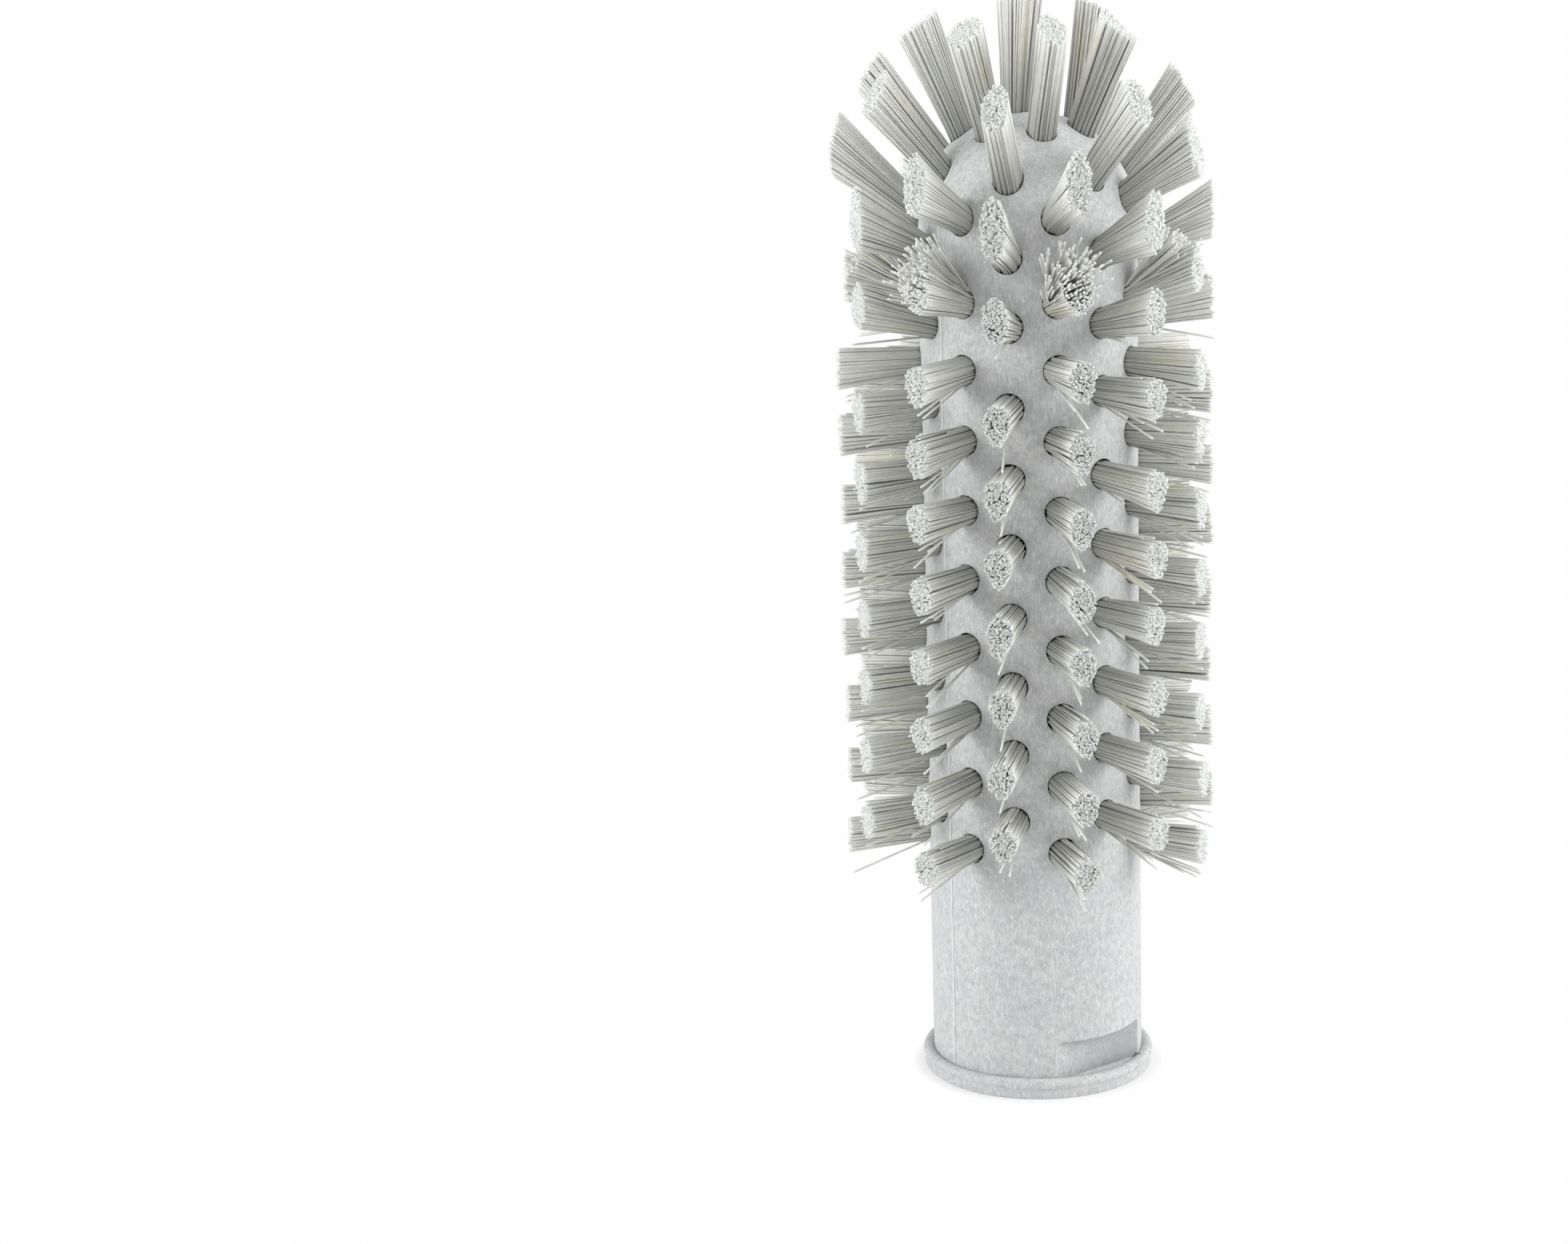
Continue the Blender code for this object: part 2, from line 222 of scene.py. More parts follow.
FILAMENT = polyester("drawn_polyester_filament", 1.2 * MM, 0.45, 0.6, "CECFCA", (
    ("tone", 0, 1, 1, "FCFCF7"),
    ("tone", 0.82, 0.84, 1, "EAE7D5"),  # a few filaments are yellower than the rest
    ("noise", 0.7, 0.35, 0.35, "CFD0CA"),
    ("along", 0.7, 0, 1, "B2B3AE"),  # painted shade, darker down to the hole
    ("along", 0.7, 1, 1, "FBFCF9"),  # pale at the crushed end
))
CUT_END = polyester("cut_polyester_ends", 0.26 * MM, 0.5, 0.75, "E5E8E6", (
    ("tone", 0, 1, 1, "FDFDFB"),
    ("noise", 0.58, 0.4, 1, "A3A9A8"),  # the crazing
))
print("made", FILAMENT.name, "and", CUT_END.name)

# %% [markdown]
# ## The moulded block
#
# The block is a turned shape: a round barrel with a domed top, a rounded bead at the foot and a narrow band
# under it, and a blind socket from below. It could be stacked from cylinders and a ball, but then each joint
# needs its own rounding. A turned shape is drawn as a half profile instead, with the small fillets that a
# mould needs, and swept by the Screw modifier. The profile follows the CAD sizes.

# %% Turn the block
BARREL_R, BLOCK_TOP = 17.5, 158.7
DOME_Z = BLOCK_TOP - BARREL_R
BEAD_R, BEAD_TOP, BAND_R, BAND_TOP, BAND_ROUND = 19.3, 3.3, 19.0, 1.4, 0.25
SOCKET_R, SOCKET_DEPTH, SOCKET_CHAMFER = 10.25, 32.0, 1.0
TURN_STEPS = 256


def arc(centre, radius, start_deg, end_deg, steps):
    """Points of an arc in the half profile, with its angles measured from the +R direction."""
    angles = np.radians(np.linspace(start_deg, end_deg, steps))
    return [(centre[0] + radius * math.cos(a), centre[1] + radius * math.sin(a)) for a in angles]


def block_profile():
    """Radius and height of the profile's points, from the top of the dome to the end of the socket."""
    bead_half = (BEAD_TOP - BAND_TOP) / 2
    bead_middle = BEAD_R - bead_half, BAND_TOP + bead_half
    return [
        *arc((0, DOME_Z), BARREL_R, 90, 0, 48),
        *[(BARREL_R, z) for z in np.linspace(DOME_Z, BEAD_TOP - 0.35, 24)[1:]],
        *arc(bead_middle, bead_half, 150, -52, 20),
        (BAND_R - 0.04, BAND_TOP),
        (BAND_R, BAND_TOP - 0.1),
        *arc((BAND_R - BAND_ROUND, BAND_ROUND), BAND_ROUND, 0, -90, 5),
        (SOCKET_R + SOCKET_CHAMFER, 0),
        (SOCKET_R, SOCKET_CHAMFER),
        (SOCKET_R, SOCKET_DEPTH),
        (0, SOCKET_DEPTH),
    ]


def link(name, data, hidden=False):
    """A new object of a mesh, a lamp or a camera, in the scene."""
    obj = bpy.data.objects.new(name, data)
    bpy.context.scene.collection.objects.link(obj)
    obj.hide_render = hidden
    return obj


def turned(name, profile, steps):
    """A profile swept once round the Z axis."""
    mesh = bpy.data.meshes.new(name)
    points = [(r * MM, 0, z * MM) for r, z in profile]
    mesh.from_pydata(points, [(i, i + 1) for i in range(len(points) - 1)], [])
    obj = link(name, mesh)
    screw = obj.modifiers.new("turn", "SCREW")
    screw.steps = screw.render_steps = steps
    screw.use_merge_vertices = True
    screw.merge_threshold = 0.00001
    return obj


block = turned("moulded_block", block_profile(), TURN_STEPS)
print("profile of", len(block.data.vertices), "points, turned in", TURN_STEPS, "steps")

# %% [markdown]
# ## Where the tufts stand
#
# There are 14 columns, and the even and the odd ones are drilled half a pitch apart, like bricks. A tuft
# could be placed by its hole and two angles, but angles are hard to judge by eye. So it is given by its hole
# and by the middle of its cut end, both as a radius and a height, because those are the two things one can
# see. The barrel's tufts are level and lean a hair to one side, and those of the shoulder and dome lean up.

# %% Lay out the tufts
COLUMNS, FIRST_DEG, PITCH = 14, -10.51, 11.15
FIRST_ROW = {"even": (113.6, 7), "odd": (119.4, 8)}  # height of the barrel's top row, and number of rows
REACH, REACH_OFF_CENTRE = 30.1, 0.8  # the trimming was a little off the block's axis
DROOP = 0.25  # how far a level tuft's end hangs under its hole
UPPER = {  # radius and height of the hole, then of the middle of the cut end
    "even": {
        "shoulder": (17.5, 126.3, 29.6, 128.8),
        "rim": (17.5, 137.2, 29.6, 142.3),
        "dome": (15.6, 149.1, 26.1, 160.3),
    },
    "odd": {
        "shoulder": (17.5, 130.0, 29.4, 133.2),
        "rim": (17.4, 143.0, 29.5, 148.8),
        "dome": (9.5, 155.9, 15.8, 171.4),
    },
}
LEANING = {  # the upper tufts that don't lean as the others of their row do
    (3, "shoulder"): (17.5, 130.0, 29.0, 134.6),
    (3, "rim"): (16.8, 145.2, 28.5, 152.8),
    (4, "dome"): (15.2, 149.8, 25.2, 162.2),
    (5, "rim"): (17.2, 143.6, 30.0, 155.8),
    (5, "dome"): (9.3, 156.0, 13.1, 174.4),
    (10, "dome"): (14.5, 151.0, 27.4, 165.0),
    (11, "rim"): (17.4, 143.2, 30.9, 154.6),
    (11, "dome"): (10.0, 155.6, 16.8, 172.6),
    (12, "shoulder"): (17.5, 126.3, 30.2, 130.0),
    (12, "rim"): (17.5, 137.4, 30.2, 143.3),
    (12, "dome"): (15.2, 149.9, 26.4, 162.6),
}
SIDE_LEAN = {0: 0.45, 1: 0.3, 13: 0.75}  # how far a column's cut ends stand off its plane
USUAL_SIDE_LEAN = 0.2
RAISED_HOLES = {(2, 0): 2.1}  # one hole of the barrel is drilled off its row


def trimmed_radius(azimuth_deg):
    """The radius that a column is trimmed to."""
    return REACH - REACH_OFF_CENTRE * math.sin(math.radians(azimuth_deg))


rng = np.random.default_rng(1912)
tufts = []
for column in range(COLUMNS):
    kind = "odd" if column % 2 else "even"
    azimuth = FIRST_DEG + column * 360 / COLUMNS
    side = SIDE_LEAN.get(column, USUAL_SIDE_LEAN)
    top, rows = FIRST_ROW[kind]
    for row in range(rows):
        z = top - row * PITCH + RAISED_HOLES.get((column, row), 0)
        tip_z = z - DROOP + rng.normal(0, 0.3)
        tip = trimmed_radius(azimuth) + rng.normal(0, 0.15), tip_z
        tufts.append(dict(piece=f"barrel_filaments_{column + 1:02d}", azimuth=azimuth, hole=(BARREL_R, z),
                          tip=tip, side=side + rng.normal(0, 0.12), kind="barrel", row=row))
    for level, usual in UPPER[kind].items():
        hole_r, hole_z, tip_r, tip_z = LEANING.get((column, level), usual)
        style = "splayed" if (kind, level) == ("odd", "shoulder") else level
        tufts.append(dict(piece=f"dome_filaments_{column + 1:02d}", azimuth=azimuth, hole=(hole_r, hole_z),
                          tip=(tip_r, tip_z), side=side * 0.6, kind=style, column=column))
tufts.append(dict(piece="crown_filaments", azimuth=-90, hole=(1.5, 158.6), tip=(0.7, 176.4), side=0,
                  kind="crown"))


def stand(tuft):
    """The tuft's hole and cut end in millimetres, and its column's outward and sideways directions."""
    out, side = directions(tuft["azimuth"])
    (hole_r, hole_z), (tip_r, tip_z) = tuft["hole"], tuft["tip"]
    hole = out * hole_r + [0, 0, hole_z]
    tip = out * tip_r + side * tuft["side"] + [0, 0, tip_z]
    return hole, tip, out, side


print(len(tufts), "tufts, of which", sum(t["kind"] == "barrel" for t in tufts), "are on the barrel")

# %% [markdown]
# ## Wrench flats and holes
#
# Two flats are cut just over the bead, so that a spanner can hold the brush. The barrel overhangs each in a
# rounded shoulder, and a shallow groove runs along its foot. Each tuft sits in a drilled hole that leans as
# the tuft does. Dark discs painted on the barrel would pass from afar, but it is the thin gap between a rim
# and its tuft that draws the fine crescents one sees on the real brush. So the holes and the flats are cut
# with Boolean modifiers, which leaves true rims.

# %% Cut the flats and drill the holes
HOLE_D, HOLE_DEPTH, DRILL_OUTSIDE, DRILL_SIDES = 4.96, 6.0, 4, 32
FLAT_FOOT, FLAT_TOP, SHOULDER_ROUND = 3.25, 8.8, 0.3
SHOULDER_HALF = 8.6  # how far the rounded edge over a flat reaches to either side, short of its corners
RELIEF_WIDTH, RELIEF_DEPTH, RELIEF_LENGTH = 1.2, 0.8, 17.4  # the groove at the foot of a flat


def outward_turn(azimuth_deg):
    """Turns what is drawn along +X to an azimuth."""
    return Matrix.Rotation(math.radians(azimuth_deg - 90), 4, "Z")


def drill_holes():
    """One mesh of all the drills, each standing out of the block a little."""
    drills = bmesh.new()
    for tuft in tufts:
        hole, tip, _, _ = stand(tuft)
        axis = Vector(tip - hole).normalized()
        middle = Vector(hole) + axis * (DRILL_OUTSIDE - HOLE_DEPTH) / 2
        turn = axis.to_track_quat("Z", "Y").to_matrix().to_4x4()
        bmesh.ops.create_cone(drills, cap_ends=True, segments=DRILL_SIDES, radius1=HOLE_D / 2 * MM,
                              radius2=HOLE_D / 2 * MM, depth=(HOLE_DEPTH + DRILL_OUTSIDE) * MM,
                              matrix=Matrix.Translation(middle * MM) @ turn)
    mesh = bpy.data.meshes.new("drills")
    drills.to_mesh(mesh)
    return link("drills", mesh, hidden=True)


def mill(name, inner, outer, length, foot, top):
    """A cutter of two boxes, one on each side of the block, between two distances from its axis."""
    boxes = bmesh.new()
    for azimuth in (FLATS_DEG, FLATS_DEG + 180):
        middle = Matrix.Translation(Vector(((inner + outer) / 2, 0, (foot + top) / 2)) * MM)
        size = Matrix.Diagonal(Vector((outer - inner, length, top - foot)) * MM).to_4x4()
        bmesh.ops.create_cube(boxes, size=1, matrix=outward_turn(azimuth) @ middle @ size)
    mesh = bpy.data.meshes.new(name)
    boxes.to_mesh(mesh)
    return link(name, mesh, hidden=True)


def settle(obj):
    """The modifiers become the mesh."""
    bpy.context.view_layer.update()
    graph = bpy.context.evaluated_depsgraph_get()
    mesh = bpy.data.meshes.new_from_object(obj.evaluated_get(graph))
    obj.modifiers.clear()
    obj.data = mesh


def round_shoulders(mesh, width):
    """Rounds the edge of the barrel where it overhangs a flat."""
    shape = bmesh.new()
    shape.from_mesh(mesh)
    across = Vector(directions(FLATS_DEG)[1])

    def on_edge(vert):
        level = abs(vert.co.z - FLAT_TOP * MM) < 0.01 * MM
        outside = math.hypot(vert.co.x, vert.co.y) > (BARREL_R - 0.05) * MM
        return level and outside and abs(vert.co @ across) < SHOULDER_HALF * MM

    edges = [edge for edge in shape.edges if all(on_edge(vert) for vert in edge.verts)]
    bmesh.ops.bevel(shape, geom=edges, offset=width * MM, segments=3, profile=0.5, affect="EDGES")
    shape.to_mesh(mesh)
    shape.free()
    return len(edges)


face, relief_foot = ACROSS_FLATS / 2, FLAT_FOOT - RELIEF_DEPTH
cutters = [
    mill("flats", face, BARREL_R + 2, 2 * BARREL_R, FLAT_FOOT, FLAT_TOP),
    drill_holes(),
    mill("reliefs", face - 0.02, face + RELIEF_WIDTH, RELIEF_LENGTH, relief_foot, FLAT_FOOT + 0.2),
]
for cutter in cutters:
    cut = block.modifiers.new(cutter.name, "BOOLEAN")
    cut.operation, cut.solver, cut.object = "DIFFERENCE", "EXACT", cutter
settle(block)
for cutter in cutters:
    bpy.data.objects.remove(cutter, do_unlink=True)
print("rounded", round_shoulders(block.data, SHOULDER_ROUND), "edges over the flats")
print("block with holes:", len(block.data.polygons), "faces")

# %% [markdown]
# ## Thread and parting line
#
# The socket has a coarse thread for the handle. A thread is a ridge that climbs as it turns, so it is swept
# along a helix. The parting line is where the two halves of the mould met: a hair-thin, uneven ridge over
# the dome and down both sides, with a nick of flash here and there, and a fine line of painted shade along
# its foot. A bump in the material could draw both, but it wouldn't show in their outline. So both are
# meshes, swept by one small function that joins the rings of a tube.

# %% Sweep the thread and the parting line
SEAM_DEG = FLATS_DEG - 92.5  # a quarter turn from the flats, a little out of true
THREAD_PITCH, THREAD_DEPTH, THREAD_FROM = 2.5, 0.8, 2.5
THREAD_STEPS, THREAD_SPARE = 72, 6  # steps in a turn, and how much of the socket's depth has no thread
THREAD_FOOT, THREAD_CREST = 0.9, 0.25  # half widths of the thread's ridge
NICKS = ((29.6, 0.34), (8.9, 0.3), (5.0, 0.3))  # height up the block and size of each nick of flash
NICK_REACH = 0.45  # up and down from its middle
SEAM_CREST, SEAM_ROOT = 0.05, 0.1  # half width of the parting line's crest, and its depth in the wall
SHADE_STRIP_WIDTH, SHADE_STRIP_NEAR, SHADE_STRIP_FAR = 0.14, 0.015, 0.01  # the strip of painted shade, and its thickness at both edges


def swept(rings):
    """A closed tube through rings of points, each an array of shape (points, 3) in millimetres."""
    rings = np.asarray(rings)
    count, sides = rings.shape[:2]
    faces = []
    for i in range(count - 1):
        for j in range(sides):
            k = (j + 1) % sides
            faces.append((i * sides + j, i * sides + k, (i + 1) * sides + k, (i + 1) * sides + j))
    faces += [tuple(range(sides))[::-1], tuple((count - 1) * sides + j for j in range(sides))]
    mesh = bpy.data.meshes.new("swept")
    mesh.from_pydata((rings.reshape(-1, 3) * MM).tolist(), [], faces)
    return mesh


def thread():
    """A ridge that climbs round the socket's wall and fades out at both ends."""
    turns = (SOCKET_DEPTH - THREAD_SPARE) / THREAD_PITCH
    wall = SOCKET_R + 0.1
    rings = []
    for i in range(int(turns * THREAD_STEPS)):
        turn = i / THREAD_STEPS
        crest = SOCKET_R - THREAD_DEPTH * min(1, turn * 2, (turns - turn) * 2)
        z = THREAD_FROM + turn * THREAD_PITCH
        a = math.tau * turn
        section = ((wall, -THREAD_FOOT), (crest, -THREAD_CREST), (crest, THREAD_CREST), (wall, THREAD_FOOT))
        rings.append([(r * math.sin(a), -r * math.cos(a), z + rise) for r, rise in section])
    return swept(rings)


def parting_line(azimuth_deg, seed):
    """The ridge up one side of the block to the top of the dome, with a strip of painted shade at its foot.
    """
    draw = np.random.default_rng(seed)
    path = [(BARREL_R, z, 1, 0) for z in np.arange(BEAD_TOP, DOME_Z, 0.5)]
    path += [(BARREL_R * math.cos(a), DOME_Z + BARREL_R * math.sin(a), math.cos(a), math.sin(a))
             for a in np.radians(np.arange(0, 90, 1.6))]
    heights = np.convolve(draw.uniform(0.04, 0.16, len(path) + 2), [0.25, 0.5, 0.25], "valid")
    out, side = directions(azimuth_deg)
    rings = []
    for (r, z, out_share, up_share), height in zip(path, heights):
        height += sum(size * math.exp(-(((z - at) / NICK_REACH) ** 2)) for at, size in NICKS)
        width = 0.12 + height * 0.4
        normal = out * out_share + np.array([0, 0, up_share])
        base = out * r + [0, 0, z]
        foot = base + side * width
        rings.append([
            base - side * width - normal * SEAM_ROOT,
            base - side * SEAM_CREST + normal * height,
            base + side * SEAM_CREST + normal * height,
            foot + normal * SHADE_STRIP_NEAR,
            foot + side * SHADE_STRIP_WIDTH + normal * SHADE_STRIP_FAR,
            foot + side * SHADE_STRIP_WIDTH - normal * SEAM_ROOT,
        ])
    ridge = swept(rings)
    sides = len(rings[0])
    # the ridge gets the whitening with its painted highlight
    slots = np.full(len(ridge.polygons), BLOCK_MATERIALS.index(FLASH), np.int32)
    # and the strip along the ridge's foot gets the painted shade
    shaded_sides = slice(3, (len(rings) - 1) * sides, sides)  # in each ring the one after the ridge's foot
    slots[shaded_sides] = BLOCK_MATERIALS.index(SEAM_SHADE)
    ridge.polygons.foreach_set("material_index", slots)
    return ridge


ridges = thread(), parting_line(SEAM_DEG, 5), parting_line(SEAM_DEG + 180, 6)
print("swept a thread and two parting lines of", [len(mesh.polygons) for mesh in ridges], "faces")

# %% [markdown]
# The parts of the block are then joined in one mesh. Where the Boolean cut a round wall into slivers, their
# own normals would show as creases, so the barrel and the dome get the normals of a true cylinder and ball.

# %% Join the block
def true_normals(mesh):
    """Gives the corners of the barrel's and the dome's faces the normals of the true cylinder and ball."""
    places = np.empty(len(mesh.vertices) * 3, np.float32)
    mesh.vertices.foreach_get("co", places)
    corners = np.empty(len(mesh.loops), np.int32)
    mesh.loops.foreach_get("vertex_index", corners)
    normals, faces = np.empty(len(corners) * 3, np.float32), np.empty(len(mesh.polygons) * 3, np.float32)
    mesh.corner_normals.foreach_get("vector", normals)
    mesh.polygons.foreach_get("normal", faces)
    sizes = np.empty(len(mesh.polygons), np.int32)
    mesh.polygons.foreach_get("loop_total", sizes)
    normals, places = normals.reshape(-1, 3), places.reshape(-1, 3)[corners] / MM
    faces = np.repeat(faces.reshape(-1, 3), sizes, axis=0)
    true = places - np.array([0, 0, 1]) * np.minimum(places[:, 2:], DOME_Z)
    radius = np.linalg.norm(true, axis=1)
    true /= np.maximum(radius, 1e-6)[:, None]
    turned_there = (np.abs(radius - BARREL_R) < 0.03) & ((true * faces).sum(1) > math.cos(math.radians(12)))
    normals[turned_there] = true[turned_there]
    mesh.normals_split_custom_set(normals.tolist())
    return int(turned_there.sum())


def flat_faces(mesh):
    """Puts the faces of the two flats in their own slot, and says how many there are."""
    out = Vector(directions(FLATS_DEG)[0])
    found = 0
    for polygon in mesh.polygons:
        depth = abs(polygon.center @ out) - ACROSS_FLATS / 2 * MM
        if abs(polygon.normal @ out) > 0.999 and abs(depth) < 0.05 * MM:
            polygon.material_index = BLOCK_MATERIALS.index(FLAT)
            found += 1
    return found


joined = bmesh.new()
for mesh in (block.data, *ridges):
    joined.from_mesh(mesh)
block.data.materials.clear()
for material in BLOCK_MATERIALS:
    block.data.materials.append(material)
joined.to_mesh(block.data)
joined.free()
block.data.shade_smooth()
block.data.set_sharp_from_angle(angle=math.radians(27))
turned_corners = true_normals(block.data)
print(flat_faces(block.data), "faces on the flats")
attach(block, "root")
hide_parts("brush_block")
print("block finished:", len(block.data.polygons), "faces,", turned_corners, "corners with true normals")

# %% [markdown]
# ## Bundles of filament
#
# A tuft is a few hundred filaments, folded over a staple and pulled into the hole, so they are packed like
# straws at the root. From there they open a little, more up and down than sideways, and gather into small
# clumps. The ends are trimmed to one outline, which cuts a leaning tuft obliquely. A few filaments stray,
# chiefly under a tuft, and the shoulder row of the odd columns is splayed wide. Drawing all that as hair
# would lose the cut ends, so each filament is a five-sided tube. Thousands of them, made one by one, would
# take minutes, so numpy makes those of a whole column together.

# %% Sizes of the tufts
FILAMENT_D, SPACING, ROOT_R = 0.34, 0.3, 2.18  # the filament, its distance to the next, and the tuft's root
BURIED, PALE_LENGTH = 3.2, 0.5  # how deep a filament starts, and how much of its end is crushed
ALONG = (0, 0.08, 0.55, 0.9, 1.0)  # a filament's rings: buried, at the rim, on the way, pale and cut end
RINGS, SIDES = len(ALONG), 5
STYLES = {  # how much wider a tuft's cut end is than its root: sideways, in its upper and in its lower half
    "barrel": (0.98, 1.15, 1.85),
    "shoulder": (0.9, 1.5, 1.65),
    "rim": (0.88, 2.0, 2.0),
    "dome": (0.94, 1.6, 1.6),
    "crown": (1.1, 1.7, 1.7),
    "splayed": (1.1, 1.7, 1.7),
}
# Where a column's splayed tuft bursts to: the direction and the spread in degrees, and how many millimetres.
SPLAY, USUAL_SPLAY = {1: (100, 55, 8.5), 13: (128, 22, 10.0), 11: (95, 22, 9.0)}, (85, 28, 8.0)
WILD = {13: (10, 22), 11: (6, 0)}  # how many of its filaments stand out far, and their turn in degrees
DEEP = 0.88  # how near the tuft's middle those filaments stand that draw its dark lines
CLUMPS, PULL, STIR = 18, 0.1, 0.06  # clumps in a tuft, how far they draw together, disorder at the end
JOSTLE, UNEVEN, SHORT = 0.04, 0.16, 0.06  # disorder at the root, of the cut ends, and of those cut short
BOW = 1.2  # the power at which a filament leaves its tuft's axis: at 1 it is straight
UNDER = [1, 2, 3, 4], [0.25, 0.35, 0.25, 0.15]  # how many filaments stray under a tuft, and the odds
OVER = [0, 1, 2, 4], [0.5, 0.2, 0.15, 0.15]  # and how many over it
STRAY_LENGTHS = [0.4, 0.75, 0.92, 1.0], [0.1, 0.2, 0.35, 0.35]  # shares of the tuft's length, and the odds
TRIM_MIDDLE, TRIM_RISE, TRIM_R = 143.9, 33.1, 30.0  # the outline's ellipse: its middle and half axes
TRIM_SLACK = 0.4  # no filament stands out further than this past the trimmed radius


def outline_normal(radius, height):
    """(outward, upward) direction square to the outline that the tufts are trimmed to."""
    rise = max(0.0, height - TRIM_MIDDLE) / TRIM_RISE**2
    out = radius / TRIM_R**2
    return np.array([out, rise]) / math.hypot(out, rise)


def packed_rings(radius, spacing):
    """Points in rings, so that the outermost lie side by side as the skin of a tuft does."""
    points = []
    for r in np.arange(radius, 0, -spacing * 0.9):
        count = max(1, round(math.tau * r / spacing))
        angles = (np.arange(count) + rng.random()) * math.tau / count
        points.append(r * np.stack([np.cos(angles), np.sin(angles)]))
    return np.concatenate(points, axis=1)


print("a tuft is", 2 * ROOT_R, "mm wide in its hole of", HOLE_D, "mm")

# %% [markdown]
# One function grows a tuft and returns the centre lines of its filaments. Where the tuft is splayed, another
# bends most of it into a fan: a filament goes further the nearer it stands to the side that the tuft bursts
# to, and a few go furthest of all.

# %% Grow one tuft
def burst(column, x, y):
    """How far the filaments of a splayed tuft have gone: a share, and millimetres sideways and up."""
    toward, spread, furthest = SPLAY.get(column, USUAL_SPLAY)
    toward = math.radians(toward)
    along_burst = (x * math.cos(toward) + y * math.sin(toward)) / ROOT_R
    across_burst = (y * math.cos(toward) - x * math.sin(toward)) / ROOT_R
    fan = np.clip(along_burst + 0.5, 0, 1) * rng.uniform(0.05, 1.0, len(x)) ** 1.8
    wild_count, wild_turn = WILD.get(column, (0, 0))
    wild = np.argsort(-along_burst)[: 3 * wild_count : 3]
    fan[wild] = rng.uniform(0.8, 1.3, wild_count)
    bend = toward + math.radians(spread) * (rng.normal(0, 0.55, len(x)) + across_burst)
    bend[wild] += math.radians(wild_turn)
    return fan, furthest * fan * np.cos(bend), furthest * fan * np.sin(bend)


def grow(tuft):
    """Centre lines of a tuft's filaments, shape (filaments, rings, 3), and three numbers for each."""
    hole, tip, out, side = stand(tuft)
    axis = tip - hole
    length = np.linalg.norm(axis)
    axis /= length
    up = np.cross(side, axis)
    up *= 1 if up[2] > 0 or tuft["kind"] == "crown" else -1
    wide, high, low = STYLES[tuft["kind"]]
    low -= 0.06 * tuft.get("row", 0)  # the lower tufts of the barrel open less
    x, y = packed_rings(ROOT_R, SPACING * (1 - 0.27 * (high - 1)))  # one that opens far is packed closer
    count = len(x)
    bare = np.zeros(count)  # 1 for a filament that stands clear of the others
    deep = rng.choice([1.0, DEEP], count, p=[0.62, 0.38])
    x, y = x * deep + rng.normal(0, JOSTLE, count), y * deep + rng.normal(0, JOSTLE, count)

    # Open the tuft, and let its lower half taper to a drop.
    under = np.clip(-y / ROOT_R, 0, 1)
    tip_x = x * (wide - 0.3 * under * (tuft["kind"] == "barrel"))
    tip_y = np.where(y > 0, y * high, y * low)
    # Draw neighbours together into clumps, each with its own tone.
    centres = rng.uniform(-1.2, 1.2, (CLUMPS, 2)) * [ROOT_R * wide, ROOT_R * high]
    clump = np.hypot(tip_x[:, None] - centres[:, 0], tip_y[:, None] - centres[:, 1]).argmin(1)
    tip_x += (centres[clump, 0] - tip_x) * PULL + rng.normal(0, STIR, count)
    tip_y += (centres[clump, 1] - tip_y) * PULL + rng.normal(0, STIR, count)
    tone = 0.65 * rng.random(CLUMPS)[clump] + 0.35 * rng.random(count)

    # Trim it to the outline, and nowhere past the trimmed radius.
    normal = np.array([0, 0, 1.0])
    if tuft["kind"] != "crown":
        normal = outline_normal(*tuft["tip"]) @ np.stack([out, [0, 0, 1]])
    offset = side * tip_x[:, None] + up * tip_y[:, None]
    reach = length - offset @ normal / (axis @ normal)
    if axis @ out > 0.3:  # not for those that point up
        furthest = trimmed_radius(tuft["azimuth"]) + TRIM_SLACK
        reach = np.minimum(reach, (furthest - (hole + offset) @ out) / (axis @ out))
    reach += rng.normal(0, UNEVEN, count) - np.abs(rng.standard_t(3, count)) * SHORT
    curve = np.full(count, BOW)

    if tuft["kind"] == "splayed":
        fan, sprung_x, sprung_y = burst(tuft["column"], x, y)
        tip_x += sprung_x
        tip_y += sprung_y
        bare = np.clip(fan * 2, 0.8, 1)
        tone = 0.45 + 0.55 * tone  # light falls in, so none of it is dark
        bent = fan > 0.1
        full = np.sqrt(length**2 + tip_x**2 + tip_y**2)
        reach[bent] = (length**2 / full * rng.uniform(0.9, 1.02, count))[bent]  # bending adds no length
        curve[bent] = 1.0
    if tuft["kind"] in ("barrel", "shoulder"):
        # A few filaments have sprung out under the tuft, and fewer over it.
        lowest = np.argsort(y)[: rng.choice(UNDER[0], p=UNDER[1])]
        tip_y[lowest] -= rng.uniform(0.8, 4.0, len(lowest))
        tip_x[lowest] += rng.normal(0, 0.7, len(lowest))
        highest = np.argsort(-y)[: rng.choice(OVER[0], p=OVER[1])]
        tip_y[highest] += rng.uniform(0.1, 0.8, len(highest))
        for strays in (lowest, highest):
            bare[strays] = 1
            reach[strays] = length * rng.choice(STRAY_LENGTHS[0], len(strays), p=STRAY_LENGTHS[1])
            curve[strays] = 1.0

    lines = np.empty((count, RINGS, 3))
    stations = (np.full(count, -BURIED), reach * ALONG[1], reach * ALONG[2], reach - PALE_LENGTH, reach)
    for ring, at in enumerate(stations):
        opened = np.clip(at / length, 0, 1.2) ** curve
        wide_at, high_at = x + (tip_x - x) * opened, y + (tip_y - y) * opened
        lines[:, ring] = hole + axis * at[:, None] + side * wide_at[:, None] + up * high_at[:, None]
    # Where a tuft opens far, its filaments are drawn wider, so that its skin stays closed.
    wider = np.full(count, 0.0 if tuft["kind"] == "splayed" else 0.15 * (high - 1))
    return lines, tone, bare, wider


sample = grow(tufts[0])
print("a barrel tuft has", len(sample[1]), "filaments")

# %% [markdown]
# Each centre line now gets its tube. The rings of all filaments are made at once as one big array, and the
# faces follow from a small pattern that is shifted for each filament. The ends are closed with flat caps in
# the cut-end material. Every filament also gets its own cell in a UV map, with its wall below and its caps
# above, so that the mesh can be painted or baked later without two filaments sharing a spot.

